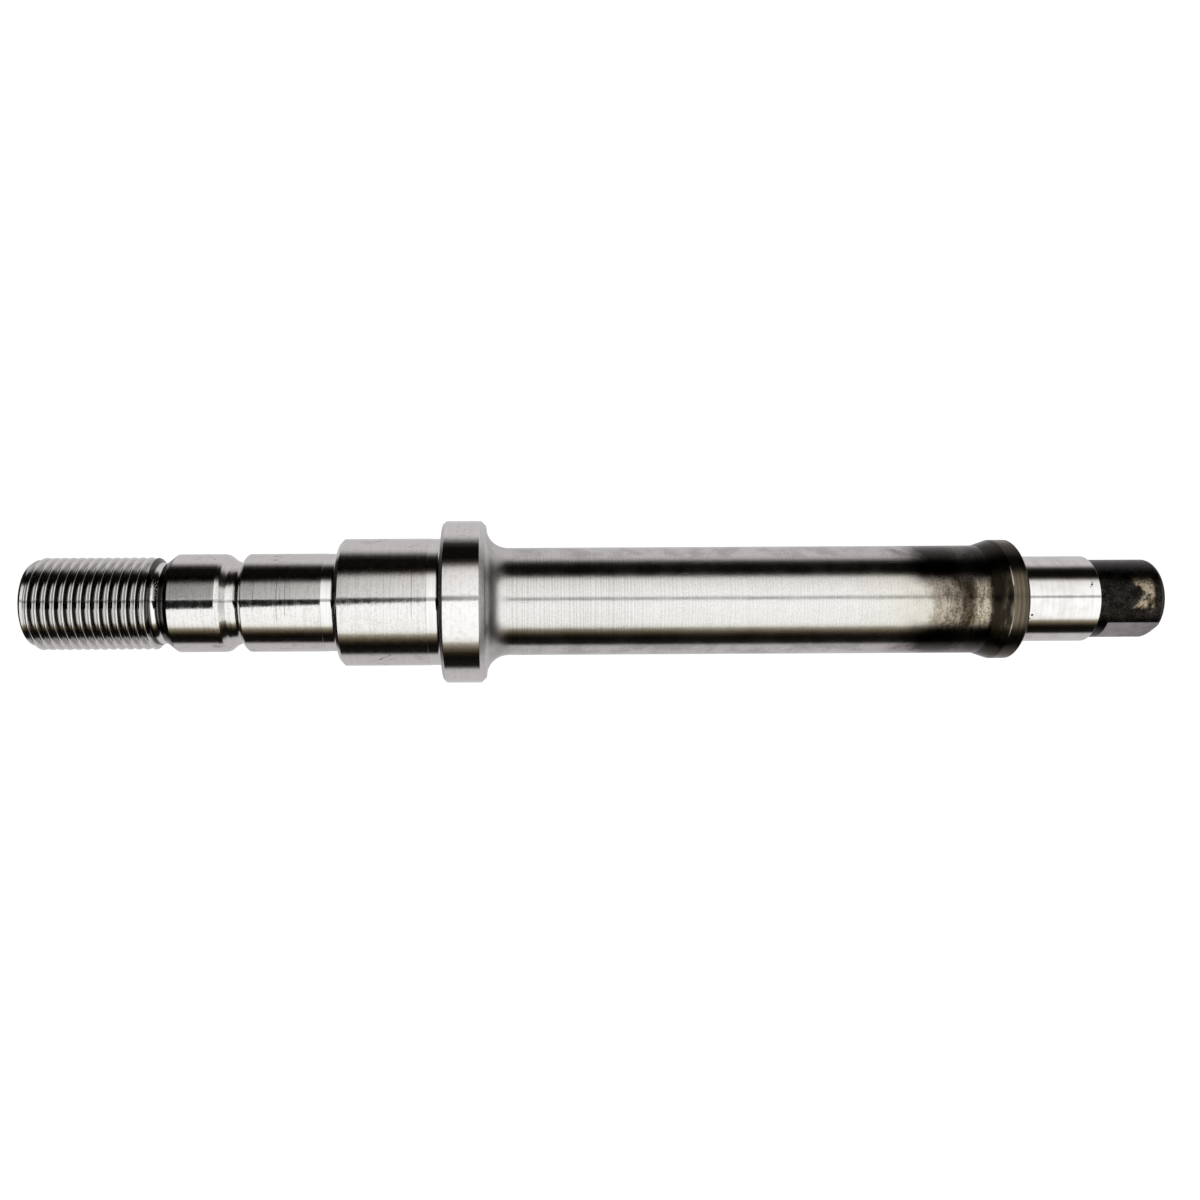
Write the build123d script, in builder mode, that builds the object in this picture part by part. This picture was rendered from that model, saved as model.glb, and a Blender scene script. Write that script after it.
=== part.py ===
"""Stepped shaft, turned from one bar, in millimetres.

The shaft stands on its threaded end, the wider of its two end faces, because on its side it rolls. +Z runs up along
the shaft from the threaded end to the spanner flats, -Y is the front, and the origin is on the table in the middle of
the threaded end.
"""

import os
from math import atan2, ceil, radians, tan

from build123d import *

# Left-hand thread
thread_diameter = 16.0
thread_pitch = 1.5
thread_length = 21.9
thread_depth = 0.6134 * thread_pitch
thread_angle = 60.0  # between its flanks
thread_crest_flat = thread_pitch / 8
thread_last_crest = 0.56  # from its end down to its last crest at the front
thread_lead_angle = 30.0  # of the end chamfer, from the axis
thread_end_angle = 60.0  # of its run-out, from the axis
relief_length = 1.15  # run-out behind the thread
root_depth = 0.65 * thread_pitch  # of the run-out
lead_depth = 0.53 * thread_pitch  # of the end chamfer

# Bearing seat, with a rounded groove across it
seat_diameter = 17.0
seat_length = 30.15  # from the run-out to the next step
seat_lead_angle = 35.0
seat_ground_length = 2.5  # relief against the next step
groove_start = 9.95  # from the start of the seat
groove_width = 4.3
groove_depth = 1.45
groove_floor_start = 2.45  # from the start of the groove
groove_floor_width = 1.0
groove_radius = 1.0
groove_lip_width = 0.7
groove_lip_depth = 0.17
groove_edge = 0.25

# Large bearing seat
large_seat_diameter = 22.0
large_seat_length = 17.55
large_seat_chamfer = 0.65
large_seat_ground_length = 2.25

ground_depth = 0.04  # of both ground reliefs

# Flange
flange_diameter = 28.0
flange_thickness = 7.3
flange_seat_chamfer = 0.55
flange_body_chamfer = 0.85
flange_hollow = 3.8  # radius from the flange's face down to the body

# Plain body
body_diameter = 18.6
body_length = 84.1

# Collar
collar_diameter = 20.5
collar_taper_angle = 19.0
collar_land = 2.85
collar_edge = 0.3

# Journal
journal_diameter = 14.7
journal_length = 13.25
journal_edge = 0.2

# Stub end, with two flats for a spanner
stub_diameter = 13.4
stub_length = 11.2
stub_radius = 0.9  # of its rounded edge
flats_across = 12.0
flats_length = 9.2
flats_turn = -26.0  # from +X towards +Y, to the middle of the first flat

# Radii
thread_radius = thread_diameter / 2
thread_face_radius = thread_radius - lead_depth
thread_root_radius = thread_radius - thread_depth
relief_radius = thread_radius - root_depth
seat_radius = seat_diameter / 2
groove_floor_radius = seat_radius - groove_depth
large_seat_radius = large_seat_diameter / 2
flange_radius = flange_diameter / 2
body_radius = body_diameter / 2
collar_radius = collar_diameter / 2
journal_radius = journal_diameter / 2
stub_half = stub_diameter / 2

# Places along the axis, from the face of the threaded end
thread_run_out = thread_length - (thread_radius - relief_radius) / tan(radians(thread_end_angle))
seat_start = thread_length + relief_length
seat_full = seat_start + (seat_radius - relief_radius) / tan(radians(seat_lead_angle))
groove_left = seat_start + groove_start
groove_floor_left = groove_left + groove_floor_start
groove_floor_right = groove_floor_left + groove_floor_width
groove_right = groove_left + groove_width
seat_end = seat_start + seat_length
large_seat_end = seat_end + large_seat_length
flange_end = large_seat_end + flange_thickness
flange_land_end = flange_end - flange_body_chamfer
taper_start = flange_end + body_length
taper_end = taper_start + (collar_radius - body_radius) / tan(radians(collar_taper_angle))
collar_end = taper_end + collar_land
collar_land_end = collar_end - collar_edge
journal_end = collar_end + journal_length
stub_end = journal_end + stub_length

# The hollow is no larger than the face it runs up.
hollow = min(flange_hollow, 0.99 * (flange_radius - flange_body_chamfer - body_radius))
# The groove's round bottom is no larger than its floor and flanks leave room for.
left_flank = atan2(groove_depth - groove_lip_depth, groove_floor_start - groove_lip_width)
right_flank = atan2(groove_depth - groove_edge, groove_right - groove_edge - groove_floor_right)
floor_room = groove_floor_width / (tan(left_flank / 2) + tan(right_flank / 2))
floor_radius = min(groove_radius, 0.98 * floor_room)

profile_plane = Plane(origin=(0, 0, 0), x_dir=(0, 0, 1), z_dir=(0, 1, 0))  # its x is the shaft's axis

# The helix starts a few turns below the threaded end, on +X, and ends above the thread. That is half a pitch from
# the crest and a quarter of a turn from the front.
turns_below = ceil(thread_length / thread_pitch) + 2
helix_start = thread_length - thread_last_crest - (turns_below + 0.5 + 0.25) * thread_pitch
helix_height = (turns_below + 2.5) * thread_pitch
cutter_height = thread_depth + 0.03 * thread_pitch  # a little out of the blank
thread_mouth = (thread_pitch - thread_crest_flat) / 2  # half widths
cutter_root = thread_mouth - thread_depth * tan(radians(thread_angle / 2))
cutter_mouth = cutter_root + cutter_height * tan(radians(thread_angle / 2))

# The groove of the thread, cut in a blank that is longer than the thread at both ends
with BuildPart() as threaded_blank:
    with BuildSketch(Plane.XY.offset(helix_start - 2 * thread_pitch)):
        Circle(thread_radius)
    extrude(amount=helix_height + 4 * thread_pitch)
    with BuildLine() as helix:
        Helix(
            pitch=thread_pitch,
            height=helix_height,
            radius=thread_root_radius,
            center=(0, 0, helix_start),
            lefthand=True,
        )
    with BuildSketch(Plane(origin=helix.line @ 0, x_dir=(1, 0, 0), z_dir=helix.line % 0)):
        Polygon(
            (0, -cutter_root),
            (0, cutter_root),
            (cutter_height, cutter_mouth),
            (cutter_height, -cutter_mouth),
            align=None,
        )
    sweep(is_frenet=True, mode=Mode.SUBTRACT)

# The blank trimmed to the threaded end, with its chamfer and its run-out
with BuildPart() as threaded_end:
    with BuildSketch(profile_plane):
        Polygon(
            (0, 0),
            (0, thread_face_radius),
            (lead_depth / tan(radians(thread_lead_angle)), thread_radius),
            (thread_run_out, thread_radius),
            (thread_length, relief_radius),
            (thread_length, 0),
            align=None,
        )
    revolve(axis=Axis.Z)
    add(threaded_blank.part, mode=Mode.INTERSECT, clean=False)

with BuildPart() as stepped_shaft:
    with BuildSketch(profile_plane):
        with BuildLine():
            front = Polyline(
                (thread_length, 0),
                (thread_length, relief_radius),
                (seat_start, relief_radius),
                (seat_full, seat_radius),
                (groove_left, seat_radius),
                (groove_left + groove_lip_width, seat_radius - groove_lip_depth),
            )
            groove = FilletPolyline(
                front @ 1,
                (groove_floor_left, groove_floor_radius),
                (groove_floor_right, groove_floor_radius),
                (groove_right - groove_edge, seat_radius - groove_edge),
                radius=floor_radius,
            )
            seats = Polyline(
                groove @ 1,
                (groove_right, seat_radius),
                (seat_end - seat_ground_length, seat_radius),
                (seat_end - seat_ground_length, seat_radius - ground_depth),
                (seat_end, seat_radius - ground_depth),
                (seat_end, large_seat_radius - large_seat_chamfer),
                (seat_end + large_seat_chamfer, large_seat_radius),
                (large_seat_end - large_seat_ground_length, large_seat_radius),
                (large_seat_end - large_seat_ground_length, large_seat_radius - ground_depth),
                (large_seat_end, large_seat_radius - ground_depth),
                (large_seat_end, flange_radius - flange_seat_chamfer),
                (large_seat_end + flange_seat_chamfer, flange_radius),
                (flange_land_end, flange_radius),
                (flange_end, flange_radius - flange_body_chamfer),
                (flange_end, body_radius + hollow),
            )
            hollow_curve = CenterArc((flange_end + hollow, body_radius + hollow), hollow, 180, 90)
            drive_end = Polyline(
                hollow_curve @ 1,
                (taper_start, body_radius),
                (taper_end, collar_radius),
                (collar_land_end, collar_radius),
                (collar_end, collar_radius - collar_edge),
                (collar_end, journal_radius),
                (journal_end - journal_edge, journal_radius),
                (journal_end, journal_radius - journal_edge),
                (journal_end, stub_half),
                (stub_end - stub_radius, stub_half),
            )
            rounded_edge = CenterArc(
                (stub_end - stub_radius, stub_half - stub_radius), stub_radius, 90, -90
            )
            Polyline(rounded_edge @ 1, (stub_end, 0), (thread_length, 0))
        make_face()
    revolve(axis=Axis.Z)
    add(threaded_end.part, clean=False)

    # Two flats, one each side of the stub, run out at its end.
    flat_depth = stub_half - flats_across / 2
    with BuildSketch(Plane.XY.offset(stub_end - flats_length)):
        with PolarLocations(flats_across / 2 + flat_depth, 2, start_angle=flats_turn):
            Rectangle(2 * flat_depth, stub_diameter)
    extrude(amount=flats_length + stub_radius, mode=Mode.SUBTRACT)

os.makedirs("parts", exist_ok=True)
stepped_shaft.part.label = "stepped_shaft"
export_step(stepped_shaft.part, "parts/stepped_shaft.step")
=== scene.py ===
import math

import bmesh
import bpy
from mathutils import Matrix, Vector


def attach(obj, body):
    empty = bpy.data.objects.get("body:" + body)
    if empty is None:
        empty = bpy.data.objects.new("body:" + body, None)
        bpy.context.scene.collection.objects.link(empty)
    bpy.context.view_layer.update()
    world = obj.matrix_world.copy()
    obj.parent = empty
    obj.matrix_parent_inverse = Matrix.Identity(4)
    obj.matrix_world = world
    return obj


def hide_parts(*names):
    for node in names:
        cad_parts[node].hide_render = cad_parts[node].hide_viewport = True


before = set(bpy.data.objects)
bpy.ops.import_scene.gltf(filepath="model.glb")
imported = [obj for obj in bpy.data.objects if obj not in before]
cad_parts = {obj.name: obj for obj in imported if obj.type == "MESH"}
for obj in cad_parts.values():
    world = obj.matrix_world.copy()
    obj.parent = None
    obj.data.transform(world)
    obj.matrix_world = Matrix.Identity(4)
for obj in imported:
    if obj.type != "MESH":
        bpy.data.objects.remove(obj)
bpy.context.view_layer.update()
mm = 0.001


class Field:  # one socket of a shader, used in sums
    def __init__(self, graph, socket):
        self.graph, self.socket = graph, socket

    def __add__(self, other):
        return self.graph.maths("ADD", self, other)

    def __radd__(self, other):
        return self.graph.maths("ADD", other, self)

    def __sub__(self, other):
        return self.graph.maths("SUBTRACT", self, other)

    def __rsub__(self, other):
        return self.graph.maths("SUBTRACT", other, self)

    def __mul__(self, other):
        return self.graph.maths("MULTIPLY", self, other)

    def __rmul__(self, other):
        return self.graph.maths("MULTIPLY", other, self)

    def __truediv__(self, other):
        return self.graph.maths("DIVIDE", self, other)

    def __rtruediv__(self, other):
        return self.graph.maths("DIVIDE", other, self)

    def __neg__(self):
        return self.graph.maths("MULTIPLY", self, -1.0)

    def __abs__(self):
        return self.graph.maths("ABSOLUTE", self)


class Graph:  # the nodes of one material, or of the world
    def __init__(self, tree):
        self.tree = tree
        tree.nodes.clear()

    def node(self, kind, settings=None, inputs=None):
        made = self.tree.nodes.new(kind)
        for name, value in (settings or {}).items():
            if name == "stops":
                self.setStops(made.color_ramp, value)
            else:
                setattr(made, name, value)
        for name, value in (inputs or {}).items():
            self.plug(made.inputs[name], value)
        return made

    def setStops(self, ramp, stops):
        while len(ramp.elements) < len(stops):
            ramp.elements.new(0.5)
        for element, (place, colour) in zip(ramp.elements, stops):
            element.position = place
            element.color = (*colour, 1)

    def plug(self, socket, value):
        if isinstance(value, Field):
            self.tree.links.new(value.socket, socket)
        elif isinstance(value, (tuple, list)) and socket.type == "RGBA":
            socket.default_value = (*value[:3], 1)
        else:
            socket.default_value = value

    def out(self, kind, settings=None, inputs=None, name=0):
        return Field(self, self.node(kind, settings, inputs).outputs[name])

    def maths(self, operation, *values):
        return self.out("ShaderNodeMath", {"operation": operation}, dict(enumerate(values)))

    def vector(self, operation, *values):
        return self.out("ShaderNodeVectorMath", {"operation": operation}, dict(enumerate(values)), "Vector")

    def join(self, x, y, z):
        return self.out("ShaderNodeCombineXYZ", {}, {"X": x, "Y": y, "Z": z})

    def smooth(self, value, low, high, bottom=0.0, top=1.0, kind="SMOOTHSTEP"):
        inputs = {"Value": value, "From Min": low, "From Max": high, "To Min": bottom, "To Max": top}
        return self.out("ShaderNodeMapRange", {"interpolation_type": kind}, inputs, "Result")

    def window(self, value, low, high, soft):  # 1 from low to high, and 0 outside
        return self.smooth(value, low - soft, low) * (1 - self.smooth(value, high, high + soft))

    def ramp(self, value, stops):
        return self.out("ShaderNodeValToRGB", {"stops": stops}, {"Fac": value}, "Color")

    def mix(self, factor, first, second, blend="MIX"):
        made = self.node("ShaderNodeMix", {"data_type": "RGBA", "blend_type": blend})
        for spot, value in ((0, factor), (6, first), (7, second)):
            self.plug(made.inputs[spot], value)
        return Field(self, made.outputs[2])

    def noise(self, vector, scale, detail=2.0, roughness=0.5):
        inputs = {"Vector": vector, "Scale": scale, "Detail": detail, "Roughness": roughness}
        return self.out("ShaderNodeTexNoise", {}, inputs, "Fac")

    def shift(self, vector, amount):  # the same pattern, somewhere else in it
        return self.vector("ADD", vector, (amount, amount * 1.7, amount * 0.6))

    def tinted(self, colour, tint):
        return self.mix(1.0, colour, tint, "MULTIPLY")

    def rings(self, place, perMm, across=0.04, detail=2.0, roughness=0.6):  # lines round the shaft
        return self.noise(self.vector("MULTIPLY", place, (across, across, perMm)), 1.0, detail, roughness)

    def bump(self, height, depth, normal=None):  # depth in millimetres
        inputs = {"Strength": 1.0, "Distance": depth * mm, "Height": height}
        if normal is not None:
            inputs["Normal"] = normal
        return self.out("ShaderNodeBump", {}, inputs, "Normal")


class SteelGraph(Graph):  # a material, with places on the shaft in millimetres and turns in degrees
    def __init__(self, name):
        self.material = bpy.data.materials.new(name)
        self.material.use_nodes = True
        super().__init__(self.material.node_tree)
        self.place = self.vector("MULTIPLY", self.out("ShaderNodeTexCoord", name="Object"), (1 / mm,) * 3)
        parts = self.node("ShaderNodeSeparateXYZ", {}, {"Vector": self.place})
        self.x, self.y, self.height = (Field(self, parts.outputs[name]) for name in "XYZ")
        self.turn = self.maths("ARCTAN2", -self.x, -self.y) * (180 / math.pi)  # from the front towards -X
        self.offAxis = self.maths("SQRT", self.x * self.x + self.y * self.y)

    def spot(self, height, turn, radius, size):  # a round spot with a soft rim
        along = self.height - height
        across = (self.turn - turn) * (radius * math.pi / 180)
        apart = self.maths("SQRT", along * along + across * across)
        return 1 - self.smooth(apart, size * 0.5, size)

    # short lines, slant degrees from the axis, on a share of the surface
    def scratches(self, radius, slant, spacing, width, share, shift):
        across = self.turn * (radius * math.pi / 180)
        cosine, sine = math.cos(math.radians(slant)), math.sin(math.radians(slant))
        along = self.height * cosine + across * sine
        aside = across * cosine - self.height * sine
        lines = self.noise(self.join(along * 0.16, aside / spacing, shift), 1.0, 0.0)
        line = 1 - self.smooth(abs(lines - 0.5), 0.0, width)
        patch = self.noise(self.join(along * 0.22, aside * 0.4, shift * 1.9), 1.0, 1.0)
        unbroken = 1 - self.smooth(abs(self.turn), 150.0, 172.0)  # none at the back, where the turn jumps
        return line * self.smooth(patch, 1 - share, 1.08 - share) * unbroken

    def finish(self, **inputs):
        named = {name.replace("_", " "): value for name, value in inputs.items()}
        surface = self.out("ShaderNodeBsdfPrincipled", {}, {"Metallic": 1.0, **named}, "BSDF")
        self.node("ShaderNodeOutputMaterial", {}, {"Surface": surface})
        return self.material


threadLook = {
    "valley": (0.60, 0.59, 0.575),
    "steel": (0.82, 0.815, 0.805),
    "crestFrom": (7.5, 7.95),  # distances from the axis, where the valleys' steel gives way to the crests'
    # painted shade: the run-out and the slope from the neck up to the seat
    "runOut": (0.10, 0.095, 0.09),
    "runOutAt": (21.5, 22.0),  # heights
    "neckFrom": (22.0, 22.3),
    "neckEnd": (23.15, 23.4),
    "nicksAt": (22.2, 23.0),
    "nicksTurn": (8.0, 32.0),
    "roughness": (0.05, 0.11),
    "grain": 0.004,  # depth in millimetres
}


def makeThreadSteel(look):
    g = SteelGraph("threadSteel")
    grain = g.noise(g.place, 2.2, 3.0, 0.6)
    worn = g.smooth(g.offAxis + (grain - 0.5) * 0.4, *look["crestFrom"])
    nicks = g.smooth(g.noise(g.place, 4.5, 1.0), 0.6, 0.68) * g.window(g.height, *look["nicksAt"], 0.2)
    nicks = nicks * g.window(g.turn, *look["nicksTurn"], 4.0)
    neck = g.smooth(g.height, *look["neckFrom"])
    steel = g.mix(g.maths("MAXIMUM", worn, neck), look["valley"], look["steel"])
    # painted shade: the run-out and the slope above the neck are painted nearly black
    runOut = g.window(g.height, *look["runOutAt"], 0.15) + g.smooth(g.height, *look["neckEnd"])
    return g.finish(
        Base_Color=g.mix(runOut, steel, look["runOut"]),
        Roughness=g.smooth(grain, 0.3, 0.7, *look["roughness"]),
        Normal=g.bump(grain + nicks * 8.0, look["grain"]),
    )


seatLook = {
    "dull": (0.62, 0.605, 0.59),
    "bright": (0.76, 0.75, 0.735),
    "marked": (0.16, 0.15, 0.14),
    "radius": 9.5,  # between those of the two seats
    "roughness": (0.07, 0.14),
    "grinding": 0.0045,  # depths in millimetres
    "mottle": 0.005,
    "scratch": 0.004,
    "scratched": (44.0, 58.0),  # turns, to both sides, from which scratches show
    "marks": [  # dark lines round the shaft: height, half width, and from and to which turn
        (39.6, 0.05, -5, 45),
        (43.43, 0.08, -16, 40),
        (44.0, 0.05, -3, 12),
        (44.85, 0.07, -12, 42),
        (66.1, 0.07, -10, 30),
    ],
}


def makeSeatSteel(look):
    g = SteelGraph("seatSteel")
    grinding = g.rings(g.place, 3.4, 0.15, 2.0)
    mottle = g.noise(g.place, 0.85, 3.0, 0.6)
    fine = g.noise(g.shift(g.place, 31.0), 2.6, 2.0)
    marks = 0.0
    for height, halfWidth, low, high in look["marks"]:
        line = 1 - g.smooth(abs(g.height - height), halfWidth * 0.4, halfWidth)
        marks = marks + line * g.window(g.turn, low, high, 8.0)
    edge = g.smooth(abs(g.turn), *look["scratched"])
    scratch = g.scratches(look["radius"], slant=14.0, spacing=0.9, width=0.04, share=0.43, shift=3.0)
    crossing = g.scratches(look["radius"], slant=-32.0, spacing=1.1, width=0.035, share=0.40, shift=8.0)
    scratch = scratch + crossing
    tone = g.smooth(grinding * 0.45 + mottle * 0.2 + fine * 0.35, 0.36, 0.58)
    tone = tone + (1 - tone) * edge * 0.6
    tone = tone - g.maths("MINIMUM", scratch, 1.0) * 0.3
    steel = g.mix(g.maths("MAXIMUM", tone, 0.0), look["dull"], look["bright"])
    marked = g.maths("MINIMUM", marks * g.smooth(fine, 0.3, 0.55, 0.35, 0.85) + scratch * edge * 0.8, 1.0)
    surface = g.bump(mottle + fine * 0.7, look["mottle"], g.bump(grinding, look["grinding"]))
    return g.finish(
        Base_Color=g.mix(marked, steel, look["marked"]),
        Roughness=g.smooth(mottle, 0.3, 0.7, *look["roughness"]),
        Normal=g.bump(scratch * edge, -look["scratch"], surface),
    )


reliefLook = {
    "dull": (0.72, 0.715, 0.70),
    "bright": (0.79, 0.785, 0.775),
    "roughness": 0.07,
    "grinding": 0.0015,  # depth in millimetres
    "slant": -0.11,  # change of depth along the axis
}


def makeReliefSteel(look):
    g = SteelGraph("reliefSteel")
    grinding = g.rings(g.place, 3.2, 0.1, 2.0)
    return g.finish(
        Base_Color=g.mix(g.smooth(grinding, 0.35, 0.6), look["dull"], look["bright"]),
        Roughness=look["roughness"],
        Normal=g.bump(g.height * look["slant"] + grinding * look["grinding"], 1.0),
    )


flangeLook = {
    "dull": (0.69, 0.68, 0.67),
    "bright": (0.79, 0.78, 0.77),
    "radius": 14.0,
    "land": (71.3, 77.2),  # heights; its edges outside are rougher
    "roughness": 0.08,
    "edgeRoughness": 0.34,
    "grain": 0.006,  # depths in millimetres
    "scratch": 0.0015,
}


def makeFlangeSteel(look):
    g = SteelGraph("flangeSteel")
    turning = g.rings(g.place, 2.4, 0.05, 3.0)
    mottle = g.noise(g.place, 1.3, 3.0, 0.6)
    tone = g.smooth(turning * 0.35 + mottle * 0.65, 0.34, 0.56)
    edge = 1 - g.window(g.height, *look["land"], 0.08)
    scratch = g.scratches(look["radius"], slant=24.0, spacing=0.8, width=0.03, share=0.4, shift=5.0)
    return g.finish(
        Base_Color=g.mix(tone, look["dull"], look["bright"]),
        Roughness=g.smooth(edge, 0.0, 1.0, look["roughness"], look["edgeRoughness"]),
        Normal=g.bump(scratch, -look["scratch"], g.bump(mottle + turning * 0.3, look["grain"])),
    )


bodyLook = {
    "front": [  # heat tint: height and colour, along the front and the back
        (138.0, (0.73, 0.725, 0.71)),
        (148.0, (0.69, 0.67, 0.62)),
        (150.4, (0.62, 0.60, 0.54)),
        (151.6, (0.45, 0.42, 0.36)),
        (152.7, (0.35, 0.315, 0.26)),
        (154.4, (0.36, 0.32, 0.27)),
        (155.6, (0.24, 0.21, 0.17)),
        (156.5, (0.15, 0.13, 0.105)),
        (157.3, (0.06, 0.048, 0.036)),
        (158.3, (0.042, 0.033, 0.023)),
        (158.9, (0.17, 0.14, 0.105)),
        (159.5, (0.36, 0.32, 0.26)),
        (161.3, (0.38, 0.34, 0.28)),
        (161.8, (0.06, 0.05, 0.04)),
        (162.2, (0.018, 0.016, 0.012)),
    ],
    "sides": [  # and along its two sides, over the same heights: heat tint with painted reflection over it
        (138.0, (0.73, 0.725, 0.71)),
        (146.0, (0.66, 0.64, 0.63)),
        (149.0, (0.36, 0.335, 0.33)),
        (151.2, (0.10, 0.085, 0.085)),
        (152.6, (0.038, 0.031, 0.030)),
        (156.0, (0.042, 0.034, 0.033)),
        (157.6, (0.13, 0.120, 0.115)),
        (159.3, (0.10, 0.090, 0.084)),
        (160.4, (0.045, 0.040, 0.036)),
        (162.2, (0.02, 0.018, 0.016)),
    ],
    "sidesFrom": (146.0, 151.0),  # heights; the steel below is the same all round
    "scorchedFrom": (150.0, 155.0),
    "darkRing": (156.4, 158.6),
    "wanderFrom": (151.0, 157.0),
    "wander": (9.0, 1.4),  # how far the tint strays from those heights, below and above
    "grimy": (0.42, 0.38, 0.31),  # tints of the steel under them
    "dulled": (0.70, 0.695, 0.69),
    "shaded": (0.30, 0.29, 0.285),
    "shadeFrom": (78.3, 79.2),  # heights of the painted shade in the hollow, under the flange
    "shadeTo": (79.3, 81.0),
    "hollowTo": (80.0, 83.0),
    "linesFrom": (80.5, 82.5),
    "linesFade": (92.0, 118.0),
    "edgeFrom": (46.0, 56.0),  # turns, to both sides
    "radius": 9.3,
    "turned": 2.0,  # lines to a millimetre
    "lines": 0.0035,  # depths in millimetres
    "blotches": 0.018,
    "scratch": 0.0025,
    "roughness": (0.09, 0.16),
    "hollowRoughness": 0.2,  # added there
    "scorchedRoughness": 0.08,
}


def heatTintAndReflection(g, look, scorched):
    low, high = look["front"][0][0], look["front"][-1][0]
    wander = g.smooth(g.height, *look["wanderFrom"], *look["wander"])
    wander = (g.noise(g.place, 0.32, 3.0, 0.6) - 0.5) * wander
    warmed = (g.height + wander - low) / (high - low)
    front, sides = (
        g.ramp(warmed, [((height - low) / (high - low), colour) for height, colour in look[name]])
        for name in ("front", "sides")
    )
    late = g.smooth(g.height, *look["sidesFrom"])
    # painted reflection: the sides' tint is dimmed near 46 degrees from the front and brightened towards 74
    sides = g.mix(late, sides, g.tinted(sides, g.smooth(abs(g.turn), 46.0, 74.0, 0.45, 1.5)))
    # the front is darker towards -X, most of all in its dark ring
    inRing = g.window(g.height, *look["darkRing"], 0.6)
    uneven = g.smooth(g.turn, -16.0, 20.0, 1.2, -0.5) * (0.3 + 0.6 * inRing)
    front = g.mix(scorched, front, g.tinted(front, 1 + uneven))
    side = g.smooth(abs(g.turn + 4.0), 15.0, 31.0) * (1 - g.smooth(abs(g.turn), 120.0, 150.0))
    return g.mix(side * (late + (1 - late) * g.smooth(abs(g.turn), 40.0, 60.0)), front, sides)


def makeBodySteel(look):
    g = SteelGraph("bodySteel")
    beat = g.rings(g.place, 0.7, 0.02) * 16.0
    lines = g.maths("SINE", g.height * (2 * math.pi * look["turned"]) + beat) * 0.25 + 0.5
    lines = lines * 0.5 + g.rings(g.shift(g.place, 5.0), 3.0, 0.06) * 0.5
    blotch = g.noise(g.place, 0.24, 4.0, 0.62)
    speckle = g.noise(g.place, 2.4, 2.0, 0.6)
    grain = g.noise(g.shift(g.place, 21.0), 3.6, 1.0)
    scratch = g.scratches(look["radius"], slant=8.0, spacing=1.0, width=0.025, share=0.4, shift=14.0)
    scorched = g.smooth(g.height, *look["scorchedFrom"])
    steel = heatTintAndReflection(g, look, scorched)
    # the lines show most on the clean front, and blotches at its edges
    edge = g.smooth(abs(g.turn), *look["edgeFrom"])
    clear = g.smooth(g.height, *look["linesFade"], 1.0, 0.4) * (1 - edge * 0.8)
    clear = clear * g.smooth(g.height, *look["linesFrom"])
    tone = 1 - (1 - g.smooth(lines, 0.36, 0.60)) * clear * 0.5
    tone = tone - (1 - g.smooth(blotch, 0.36, 0.60)) * (0.12 + edge * 0.75)
    tone = tone - (1 - g.smooth(grain, 0.35, 0.6)) * 0.3
    steel = g.mix(g.maths("MAXIMUM", tone, 0.0), g.tinted(steel, look["dulled"]), steel)
    streak = g.rings(g.place, 1.9, 0.45, 3.0, 0.65)
    grime = 1 - g.smooth(speckle * 0.3 + streak * 0.5 + grain * 0.2, 0.42, 0.56)
    steel = g.mix(grime * scorched, steel, g.tinted(steel, look["grimy"]))
    # painted shade: the hollow is dark at the front and the back
    fromSide = abs(abs(g.turn) - 90.0)
    shade = g.smooth(g.height, *look["shadeFrom"]) * (1 - g.smooth(g.height, *look["shadeTo"]))
    shade = shade * g.smooth(fromSide, 35.0, 62.0)
    hollow = 1 - g.smooth(g.height, *look["hollowTo"])
    roughness = g.smooth(blotch, 0.3, 0.7, *look["roughness"])
    roughness = roughness + scorched * look["scorchedRoughness"] + hollow * look["hollowRoughness"]
    surface = g.bump(lines, look["lines"], g.bump(blotch + speckle * 0.08, look["blotches"]))
    return g.finish(
        Base_Color=g.mix(shade, steel, g.tinted(steel, look["shaded"])),
        Roughness=roughness,
        Normal=g.bump(scratch, -look["scratch"], surface),
    )


collarLook = {
    "black": (0.022, 0.018, 0.013),
    "taper": (0.15, 0.125, 0.085),
    "land": (0.17, 0.14, 0.10),
    "worn": (0.62, 0.59, 0.54),
    "brownFrom": (162.9, 164.3),  # heights
    "taperTop": 164.95,
    "landTop": 167.35,
    "blackFrom": (167.3, 167.5),
    "roughness": (0.2, 0.34),
    "grain": 0.010,  # depth in millimetres
}


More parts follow.
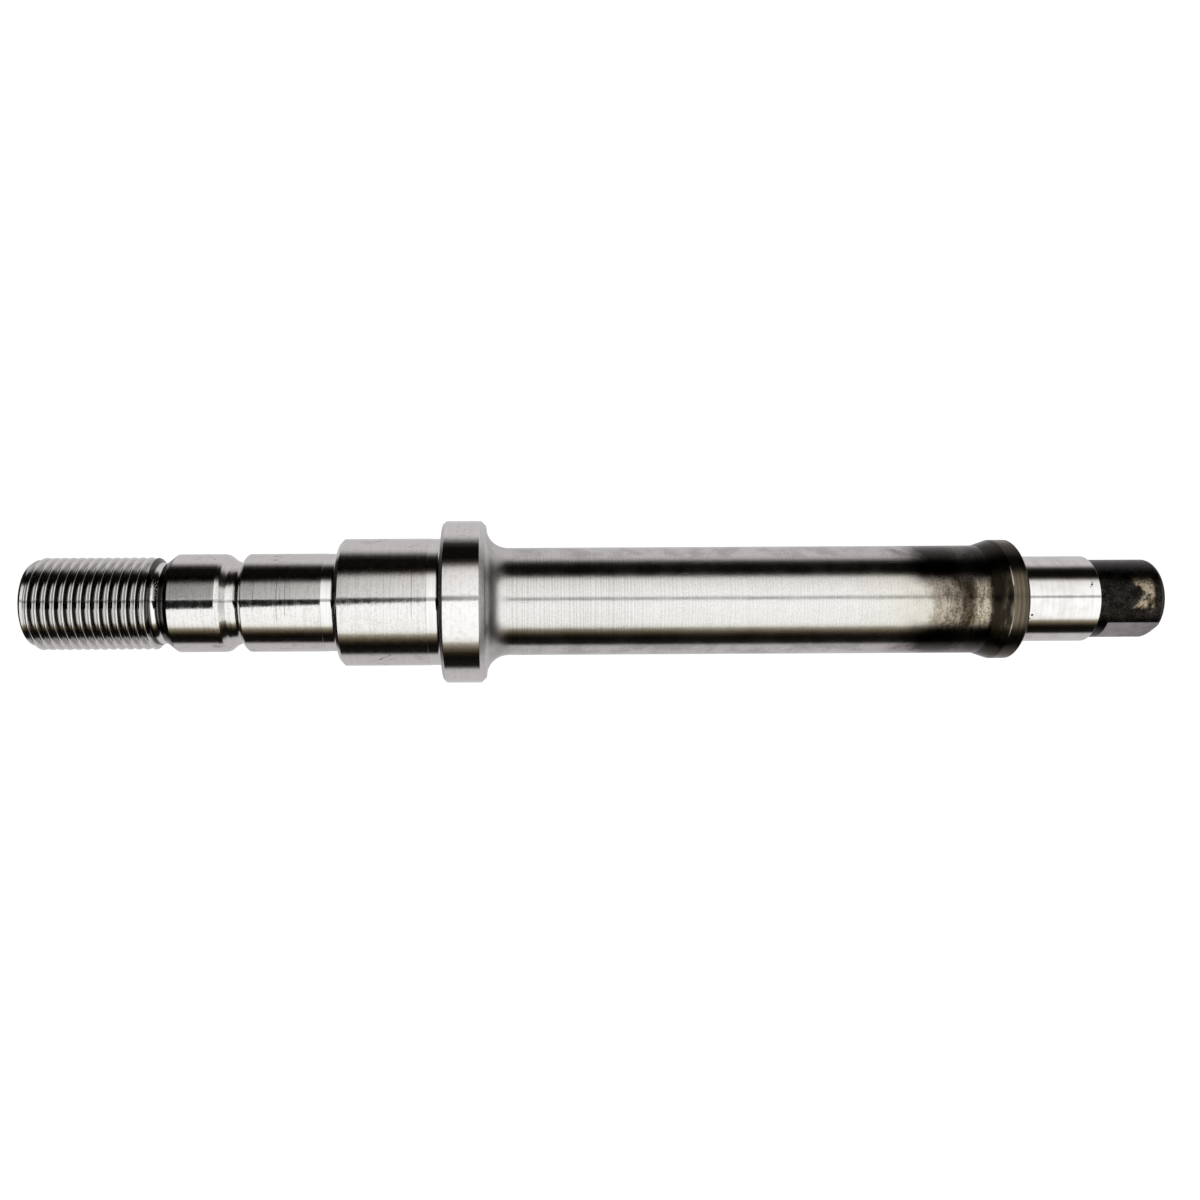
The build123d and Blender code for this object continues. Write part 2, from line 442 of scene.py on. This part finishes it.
def makeCollarSteel(look):
    g = SteelGraph("collarSteel")
    stain = g.noise(g.place, 0.5, 4.0, 0.65)
    speckle = g.noise(g.place, 2.6, 2.0, 0.6)
    lines = g.rings(g.place, 3.0, 0.03)
    face = g.window(g.height, look["taperTop"], look["landTop"], 0.12)
    brown = g.mix(face, look["taper"], look["land"])
    streaks = g.rings(g.place, 1.5, 0.22, 3.0, 0.7)
    onTaper = g.smooth(g.height, *look["brownFrom"]) * g.smooth(streaks * 0.7 + stain * 0.3, 0.42, 0.62)
    onTaper = onTaper * g.smooth(g.turn, -4.0, 16.0, 1.0, 0.45)
    onFace = 0.35 + 0.5 * g.smooth(lines, 0.34, 0.62)
    tone = onTaper * (1 - face) + onFace * face
    tone = tone * (1 - g.smooth(g.height, *look["blackFrom"]))
    # painted shade: darker from 30 to 56 degrees off either side, towards the front and the back alike
    fromSide = abs(abs(g.turn) - 90.0)
    paintedShade = g.smooth(fromSide, 70.0, 56.0) * g.smooth(fromSide, 10.0, 30.0)
    tone = tone * (1 - 0.85 * paintedShade)
    # the edge between taper and land is rubbed bright, most of all at the front
    rub = g.smooth(g.noise(g.place, 0.16) + 0.2 * g.window(g.turn, -36.0, 26.0, 16.0), 0.56, 0.66)
    worn = (1 - g.smooth(abs(g.height - look["taperTop"]), 0.03, 0.12)) * rub
    steel = g.mix(tone, look["black"], brown)
    return g.finish(
        Base_Color=g.mix(worn, steel, look["worn"]),
        Roughness=g.smooth(stain, 0.3, 0.7, *look["roughness"]),
        Normal=g.bump(stain + speckle * 0.3 + lines * 0.15, look["grain"]),
    )


journalLook = {
    "bright": (0.80, 0.795, 0.785),
    "smudge": (0.68, 0.665, 0.65),
    "pit": (0.06, 0.05, 0.04),
    "radius": 7.35,
    "pits": [  # height, turn and radius of each
        (179.45, 18.5, 0.22),
        (179.6, 21.0, 0.14),
        (179.2, 15.5, 0.12),
        (169.5, -22.0, 0.25),
        (169.2, -27.0, 0.15),
    ],
    "pitDepth": 0.03,  # depths in millimetres
    "smudgeDepth": 0.01,
    "roughness": (0.04, 0.09),
}


def makeJournalSteel(look):
    g = SteelGraph("journalSteel")
    smudge = g.noise(g.place, 0.45, 3.0, 0.6)
    lines = g.rings(g.place, 2.4, 0.04)
    pits = 0.0
    for height, turn, size in look["pits"]:
        pits = pits + g.spot(height, turn, look["radius"], size)
    specks = g.smooth(g.noise(g.shift(g.place, 7.0), 3.0, 0.0), 0.84, 0.88)
    dark = g.maths("MINIMUM", pits + specks * 0.6, 1.0)
    shine = g.smooth(smudge * 0.6 + lines * 0.4, 0.35, 0.58)
    return g.finish(
        Base_Color=g.mix(dark, g.mix(shine, look["smudge"], look["bright"]), look["pit"]),
        Roughness=g.smooth(smudge, 0.3, 0.7, *look["roughness"]) + dark * 0.3,
        Normal=g.bump(pits, -look["pitDepth"], g.bump(smudge + lines * 0.1, look["smudgeDepth"])),
    )


stubLook = {
    "black": (0.008, 0.007, 0.006),
    "grey": (0.030, 0.027, 0.024),
    "rim": (0.075, 0.07, 0.062),
    "flat": (0.34, 0.32, 0.335),
    "dullFlat": (0.2448, 0.2272, 0.2379),
    "brown": (0.11, 0.085, 0.05),
    "bare": (0.42, 0.36, 0.27),
    "flatFrom": (5.96, 5.99),  # distances from the axis, square to the flats
    "flatAbove": (183.0, 183.1),  # heights
    "dullAbove": 188.0,
    "wornBottom": 188.5,
    "wornTop": 190.4,  # the worn patch ends below the rounded edge
    "wornTurn": 8.0,  # of its middle
    "rimAt": (191.5, 192.1),
    "roughness": (0.24, 0.36),
    "grain": 0.02,  # depth in millimetres
}


def makeStubSteel(look):
    g = SteelGraph("stubSteel")
    stain = g.noise(g.place, 0.6, 4.0, 0.65)
    speckle = g.noise(g.place, 2.8, 2.0, 0.65)
    across = abs(g.x * math.sin(math.radians(flatTurn)) + g.y * math.cos(math.radians(flatTurn)))
    flat = g.smooth(across, *look["flatFrom"]) * g.smooth(g.height, *look["flatAbove"])
    black = g.mix(g.smooth(stain * 0.5 + speckle * 0.5, 0.42, 0.62), look["black"], look["grey"])
    # the black is worn through to brown and bare steel near the tip, round a dark patch that points at it
    point = g.maths("PINGPONG", g.turn - look["wornTurn"] + (stain - 0.5) * 36.0, 62.0)
    start = look["wornBottom"] - point * 0.1 + (speckle - 0.5) * 2.4
    worn = g.smooth(g.height - start, -0.3, 0.5)
    worn = worn * (1 - g.smooth(g.height, look["wornTop"] - 0.6, look["wornTop"]))
    worn = worn * (1 - g.smooth(point, 16.0, 30.0))
    worn = worn * g.smooth(speckle * 0.3 + stain * 0.7 - point * 0.003, 0.32, 0.46, 0.25, 1.0)
    bare = g.smooth(speckle * 0.4 + stain * 0.6 - point * 0.004, 0.38, 0.56)
    steel = g.mix(worn, black, g.mix(bare, look["brown"], look["bare"]))
    steel = g.mix(g.window(g.height, *look["rimAt"], 0.2) * 0.8, steel, look["rim"])
    dull = g.smooth(stain * 0.6 + (g.height - look["dullAbove"]) * 0.06, 0.2, 0.5)
    return g.finish(
        Base_Color=g.mix(flat, steel, g.mix(dull, look["flat"], look["dullFlat"])),
        Roughness=g.smooth(stain, 0.3, 0.7, *look["roughness"]),
        Normal=g.bump(stain * 0.5 + speckle * 0.5, look["grain"]),
    )


steels = {  # in the order of the mesh's materials
    "thread": (makeThreadSteel, threadLook),
    "seat": (makeSeatSteel, seatLook),
    "relief": (makeReliefSteel, reliefLook),
    "flange": (makeFlangeSteel, flangeLook),
    "body": (makeBodySteel, bodyLook),
    "collar": (makeCollarSteel, collarLook),
    "journal": (makeJournalSteel, journalLook),
    "stub": (makeStubSteel, stubLook),
}


flatTurn = -64.0  # the middle of the first flat, in degrees from the front towards -X
shaftSizes = {  # millimetres; heights are above the face of the threaded end
    "threadRadius": 8.0,
    "threadPitch": 1.5,
    # the thread's section, in pitches: along from a crest's middle and down, and the round root
    "crestRows": [(0.03, 0.0), (0.06, 0.008), (0.085, 0.03), (0.115, 0.082)],
    "flankEnd": (0.14, 0.506),  # along from the root's middle, and down
    "rootRadius": 0.144,
    "rootCentre": 0.469,  # down
    "threadFaceRadius": 7.205,
    "threadChamfer": 30.0,  # from the axis
    "runOutSlope": 1.732,  # fall of the radius over height
    "threadEnd": 21.9,
    "lastCrest": 21.21,  # on the front
    "neckRadius": 7.12,
    "stubFlat": 6.0,  # from the axis
    "stubRadius": 6.7,
    "flatStart": 183.01,
    "columnsOnFlat": 28,
    "columnsBetween": 70,
    "longestRow": 2.6,
    "weld": 0.0005,  # points nearer than this are one
    "sliver": 0.0004,  # edges shorter than this go
    "sharpFrom": 29.0,  # degrees between faces
}
shaftProfile = [  # height, radius, rounding of the corner, and the steel above it
    (21.9, 7.12, 0.0, "thread"),
    (22.95, 6.87, 1.7, "thread"),
    (25.157, 8.5, 0.12, "seat"),
    (33.0, 8.5, 0.1, "seat"),
    (33.7, 8.33, 0.25, "seat"),
    (34.7, 7.53, 1.3, "seat"),
    (35.6, 7.07, 1.2, "seat"),
    (36.48, 7.04, 1.2, "seat"),
    (37.0, 8.13, 0.1, "seat"),
    (37.42, 8.5, 0.12, "seat"),
    (50.7, 8.5, 0.0, "seat"),
    (50.72, 8.46, 0.0, "relief"),
    (53.2, 8.46, 0.8, "relief"),
    (53.2, 10.35, 0.12, "seat"),
    (53.85, 11.0, 0.12, "seat"),
    (68.5, 11.0, 0.0, "seat"),
    (68.52, 10.96, 0.0, "relief"),
    (70.75, 10.96, 0.8, "relief"),
    (70.75, 13.45, 0.12, "flange"),
    (71.3, 14.0, 0.12, "flange"),
    (77.2, 14.0, 0.14, "flange"),
    (78.05, 13.15, 0.14, "body"),
    (78.05, 9.3, 3.75, "body"),
    (162.15, 9.3, 0.2, "collar"),
    (164.909, 10.25, 0.12, "collar"),
    (167.459, 10.25, 0.1, "collar"),
    (167.759, 9.95, 0.1, "collar"),
    (167.759, 7.35, 0.05, "journal"),
    (180.809, 7.35, 0.05, "journal"),
    (181.009, 7.15, 0.05, "journal"),
    (181.009, 6.7, 0.08, "stub"),
    (183.0, 6.7, 0.0, "stub"),
    (183.02, 6.7, 0.0, "stub"),
    (192.209, 6.7, 0.9, "stub"),
    (192.209, 1.0, 0.0, "stub"),
]


def cornerArc(before, corner, after, rounding):  # points that round one corner of the profile
    toBefore, toAfter = before - corner, after - corner
    turn = math.pi - toBefore.angle(toAfter)
    if rounding <= 0 or turn < 0.02:
        return [corner]
    share = 0.98 if rounding > 1.5 else 0.49  # a hollow takes its whole face
    reach = min(rounding * math.tan(turn / 2), share * toBefore.length, share * toAfter.length)
    rounding = reach / math.tan(turn / 2)
    start = corner + toBefore.normalized() * reach
    finish = corner + toAfter.normalized() * reach
    inwards = (toBefore.normalized() + toAfter.normalized()).normalized()
    middle = corner + inwards * rounding / math.cos(turn / 2)
    step = 6 if rounding > 0.5 else 24  # degrees
    steps = max(3, round(math.degrees(turn) / step))
    points = []
    for i in range(steps + 1):
        blend = i / steps
        arm = (start - middle) * math.sin((1 - blend) * turn) + (finish - middle) * math.sin(blend * turn)
        points.append(middle + arm / math.sin(turn))
    return points


def profileRows(profile, longest):  # (height, radius, steel above it) of each row of the mesh
    corners = [Vector((height, radius)) for height, radius, rounding, steel in profile]
    rows = [(*corners[0], profile[0][3])]
    for i in range(1, len(corners)):
        points = [corners[i]]
        if i + 1 < len(corners):
            points = cornerArc(corners[i - 1], corners[i], corners[i + 1], profile[i][2])
        last, below = Vector(rows[-1][:2]), rows[-1][2]
        gap = points[0] - last
        steps = max(1, math.ceil(gap.length / longest))
        rows += [(*(last + gap * j / steps), below) for j in range(1, steps)]
        rows += [(*point, below) for point in points[:-1]]
        rows.append((*points[-1], profile[i][3]))
    return rows


def columnTurns(sizes):  # degrees from the front towards -X, with the flats' edges on columns
    half = math.degrees(math.acos(sizes["stubFlat"] / sizes["stubRadius"]))
    turns, start = [], flatTurn + half
    for span, count in ((180 - 2 * half, sizes["columnsBetween"]), (2 * half, sizes["columnsOnFlat"])) * 2:
        turns += [start + span * i / count for i in range(count)]
        start += span
    return turns


def threadRows(sizes):  # over one pitch: how far above a crest, in pitches, and how deep
    crest, (aside, flank) = sizes["crestRows"], sizes["flankEnd"]
    rows = [(-share, depth) for share, depth in reversed(crest)] + crest + [(0.5 - aside, flank)]
    for turn in range(-60, 61, 30):  # the round root
        angle = math.radians(turn)
        share = 0.5 + sizes["rootRadius"] * math.sin(angle)
        rows.append((share, sizes["rootCentre"] + sizes["rootRadius"] * math.cos(angle)))
    rows.append((0.5 + aside, flank))
    return [(share, depth * sizes["threadPitch"]) for share, depth in rows]


def threadRadius(sizes, height, depth):
    chamfer = sizes["threadFaceRadius"] + height * math.tan(math.radians(sizes["threadChamfer"]))
    runOut = sizes["neckRadius"] + (sizes["threadEnd"] - height) * sizes["runOutSlope"]
    return min(sizes["threadRadius"] - depth, chamfer, runOut)


def flatRadius(sizes, height, radius, turn):  # the stub's two flats cut into its round
    if height < sizes["flatStart"]:
        return radius
    across = abs(math.cos(math.radians(turn - flatTurn)))
    return min(radius, sizes["stubFlat"] / max(across, 0.01))


def placeAt(turn, radius, height):  # a turn of 0 is the front, -Y, and 90 is -X
    angle = math.radians(turn)
    return Vector((-radius * math.sin(angle), -radius * math.cos(angle), height)) * mm


def buildShaft(sizes, profile, steels):
    build = bmesh.new()
    slots = list(steels)
    turns = columnTurns(sizes)
    count = len(turns)

    def skin(rings, names, shift=0):  # quads between rings; the last column meets the first, shift rings on
        for i in range(len(rings) - 1):
            for j in range(count):
                k = (j + 1) % count
                step = shift if k == 0 else 0
                if i + 1 + step >= len(rings):
                    continue
                quad = [rings[i][j], rings[i + step][k], rings[i + 1 + step][k], rings[i + 1][j]]
                face = build.faces.new(quad)
                face.material_index = slots.index(names[i])

    # the thread, left-hand, in rings that follow its crests and run past both its ends
    pitchRows = threadRows(sizes)
    rings = []
    first = -2 - math.ceil(sizes["lastCrest"] / sizes["threadPitch"])
    for number in range(first, 3):
        for share, depth in pitchRows:
            ring = []
            for turn in turns:
                height = sizes["lastCrest"] + (number + share + turn / 360) * sizes["threadPitch"]
                height = min(max(height, 0.0), sizes["threadEnd"])
                ring.append(build.verts.new(placeAt(turn, threadRadius(sizes, height, depth), height)))
            rings.append(ring)
    skin(rings, ["thread"] * len(rings), len(pitchRows))

    # everything above the thread
    rows = profileRows(profile, sizes["longestRow"])
    rings = [
        [build.verts.new(placeAt(turn, flatRadius(sizes, height, radius, turn), height)) for turn in turns]
        for height, radius, steel in rows
    ]
    skin(rings, [steel for height, radius, steel in rows])
    tip = build.verts.new((0, 0, profile[-1][0] * mm))
    for j in range(count):
        face = build.faces.new((rings[-1][j], rings[-1][(j + 1) % count], tip))
        face.material_index = slots.index("stub")

    bmesh.ops.remove_doubles(build, verts=build.verts[:], dist=sizes["weld"] * mm)
    # the face of the threaded end closes what is still open there
    rim = [edge for edge in build.edges if edge.is_boundary]
    middle = build.verts.new((0, 0, 0))
    for edge in rim:
        build.faces.new((*edge.verts, middle))
    bmesh.ops.dissolve_degenerate(build, edges=build.edges[:], dist=sizes["sliver"] * mm)
    bmesh.ops.recalc_face_normals(build, faces=build.faces[:])

    mesh = bpy.data.meshes.new("shaft")
    build.to_mesh(mesh)
    build.free()
    mesh.shade_smooth()
    mesh.set_sharp_from_angle(angle=math.radians(sizes["sharpFrom"]))
    shaft = bpy.data.objects.new("shaft", mesh)
    bpy.context.scene.collection.objects.link(shaft)
    for make, look in steels.values():
        mesh.materials.append(make(look))
    even = shaft.modifiers.new("evenShading", "WEIGHTED_NORMAL")
    even.keep_sharp = True
    triangles = sum(len(face.vertices) - 2 for face in mesh.polygons)
    print("shaft:", len(mesh.polygons), "faces,", triangles, "triangles")
    return shaft


shaft = buildShaft(shaftSizes, shaftProfile, steels)
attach(shaft, "root")
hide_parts("stepped_shaft")


floorLook = {
    "size": 3.0,  # metres
    "colour": (0.86, 0.86, 0.86),
    "glow": 1.28,
    "shade": 0.25,  # how much of its own shading shows
}


def buildFloor(look):
    mesh = bpy.data.meshes.new("floor")
    half = look["size"] / 2
    corners = [(-half, -half, 0), (half, -half, 0), (half, half, 0), (-half, half, 0)]
    mesh.from_pydata(corners, [], [(0, 1, 2, 3)])
    floor = bpy.data.objects.new("floor", mesh)
    bpy.context.scene.collection.objects.link(floor)
    material = bpy.data.materials.new("paleFloor")
    material.use_nodes = True
    graph = Graph(material.node_tree)
    paint = graph.out("ShaderNodeBsdfDiffuse", {}, {"Color": look["colour"]}, "BSDF")
    glow = graph.out("ShaderNodeEmission", {}, {"Color": (1, 1, 1), "Strength": look["glow"]}, "Emission")
    bright = graph.out("ShaderNodeLightPath", name="Is Camera Ray") * (1 - look["shade"])
    surface = graph.out("ShaderNodeMixShader", {}, {0: bright, 1: paint, 2: glow}, "Shader")
    graph.node("ShaderNodeOutputMaterial", {}, {"Surface": surface})
    mesh.materials.append(material)
    floor.visible_glossy = False


buildFloor(floorLook)
print("floor ready")


studio = {  # soft panels with dark gaps between them, all round the shaft
    "panels": [  # degrees from the front towards -X, and the light there
        (-180, (0.68, 0.67, 0.68)), (-165, (0.62, 0.61, 0.62)), (-145, (0.60, 0.575, 0.585)),
        (-122, (0.61, 0.58, 0.59)), (-112, (0.56, 0.53, 0.54)), (-108, (0.36, 0.34, 0.34)),
        (-105, (0.10, 0.095, 0.09)), (-101, (0.012, 0.011, 0.010)), (-84, (0.005, 0.004, 0.003)),
        (-76, (0.022, 0.016, 0.009)), (-69, (0.12, 0.10, 0.066)), (-63, (0.31, 0.275, 0.21)),
        (-59.5, (0.52, 0.49, 0.42)), (-56, (1.02, 1.00, 0.95)), (-48, (1.20, 1.20, 1.18)),
        (-12, (1.27, 1.27, 1.27)), (14, (1.23, 1.22, 1.21)), (30, (1.12, 1.10, 1.09)),
        (42, (1.00, 0.98, 0.97)), (47, (0.82, 0.80, 0.79)), (50.5, (0.52, 0.50, 0.48)),
        (54, (0.20, 0.18, 0.17)), (58, (0.030, 0.026, 0.022)), (64, (0.005, 0.004, 0.003)),
        (80, (0.006, 0.005, 0.004)), (88, (0.035, 0.032, 0.030)), (94.5, (0.23, 0.22, 0.22)),
        (101, (0.56, 0.53, 0.54)), (109, (0.68, 0.65, 0.66)),
        (145, (0.62, 0.60, 0.61)), (165, (0.66, 0.65, 0.66)), (180, (0.68, 0.67, 0.68)),
    ],
    "brightest": 1.27,
    "top": (0.56, 0.54, 0.56),
    "topFrom": (0.74, 0.90),  # z of a ray's direction, as in the next two
    "farTopFrom": (0.66, 0.88),
    "gapFrom": (-0.14, -0.02),
    "gap": (0.99, 0.55),  # how dark the front's gap is, low and high
    "farTop": 0.80,  # and how dark it is behind and above the drive end
    "under": 0.97,  # and below
    "backdrop": 1.05,
}


def buildStudio(look):
    world = bpy.data.worlds.new("studio")
    bpy.context.scene.world = world
    world.use_nodes = True
    g = Graph(world.node_tree)
    parts = g.node("ShaderNodeSeparateXYZ", {}, {"Vector": g.out("ShaderNodeTexCoord", name="Generated")})
    x, y, z = (Field(g, parts.outputs[name]) for name in "XYZ")
    turn = g.maths("ARCTAN2", -x, -y) * (180 / math.pi)
    low = g.smooth(-z, 0.0, 0.35, kind="LINEAR")  # how far below the level
    brightest = look["brightest"]
    # the dark gap on the -X side is wider lower down
    widened = turn + low * g.smooth(turn, 10.0, 30.0) * g.smooth(turn, 62.0, 78.0, 5.0, -6.0)
    top = tuple(part / brightest for part in look["top"])
    stops = [
        (place / 360 + 0.5, tuple(part / brightest for part in light))
        for place, light in look["panels"]
    ]
    panels = g.ramp(widened / 360 + 0.5, stops)
    light = g.mix(g.smooth(z, *look["topFrom"]), panels, top)
    # a dark gap at the front, wider lower down
    edge = g.smooth(z, -0.40, -0.04, -16.0, 1.5)
    gap = g.smooth(turn - edge, -1.6, 1.6) * (1 - g.smooth(turn, 6.0, 10.5))
    level = 1 - gap * g.smooth(z, *look["gapFrom"], *look["gap"])
    # the panel on the -X side dims lower down, and under the panels it is dark
    aside = g.smooth(turn, 6.0, 12.0) * (1 - g.smooth(turn, 60.0, 72.0))
    level = level * (1 - aside * low * 0.75)
    darkFrom = g.smooth(abs(turn), 60.0, 100.0, -0.57, -0.76)
    darkTo = g.smooth(abs(turn), 60.0, 100.0, -0.44, -0.60)
    level = level * (1 - look["under"] * (1 - g.smooth(z, darkFrom, darkTo)))
    # behind and above the drive end it is dark too
    level = level * (1 - look["farTop"] * g.smooth(y, -0.12, 0.10) * g.smooth(z, *look["farTopFrom"]))
    seen = g.out("ShaderNodeLightPath", name="Is Camera Ray")
    surroundings = g.out("ShaderNodeBackground", {}, {"Color": light, "Strength": level * brightest})
    backdrop = g.out("ShaderNodeBackground", {}, {"Color": (1, 1, 1), "Strength": look["backdrop"]})
    surface = g.out("ShaderNodeMixShader", {}, {0: seen, 1: surroundings, 2: backdrop})
    g.node("ShaderNodeOutputWorld", {}, {"Surface": surface})


buildStudio(studio)
print("light ready")


cameraPlace = {  # millimetres
    "height": 84.05,
    "distance": 181.4,
    "roll": 0.31,  # degrees, the shaft against the picture's level
    "lens": 31.32,
    "sensor": 36.0,
    "shift": (0.0658, 0.0012),
    "clip": (0.01, 20.0),  # metres
}


def buildCamera(place):
    data = bpy.data.cameras.new("camera")
    data.lens, data.sensor_width = place["lens"], place["sensor"]
    data.shift_x, data.shift_y = place["shift"]
    data.clip_start, data.clip_end = place["clip"]
    camera = bpy.data.objects.new("camera", data)
    bpy.context.scene.collection.objects.link(camera)
    roll = math.radians(place["roll"])
    right = Vector((math.sin(roll), 0, math.cos(roll)))  # the threaded end is at the picture's left
    up = Vector((-math.cos(roll), 0, math.sin(roll)))
    back = right.cross(up)
    turned = Matrix((right, up, back)).transposed().to_4x4()
    camera.matrix_world = Matrix.Translation(Vector((0, -place["distance"], place["height"])) * mm) @ turned
    bpy.context.scene.camera = camera


buildCamera(cameraPlace)
bpy.context.scene.view_settings.view_transform = "Standard"
print("camera ready")
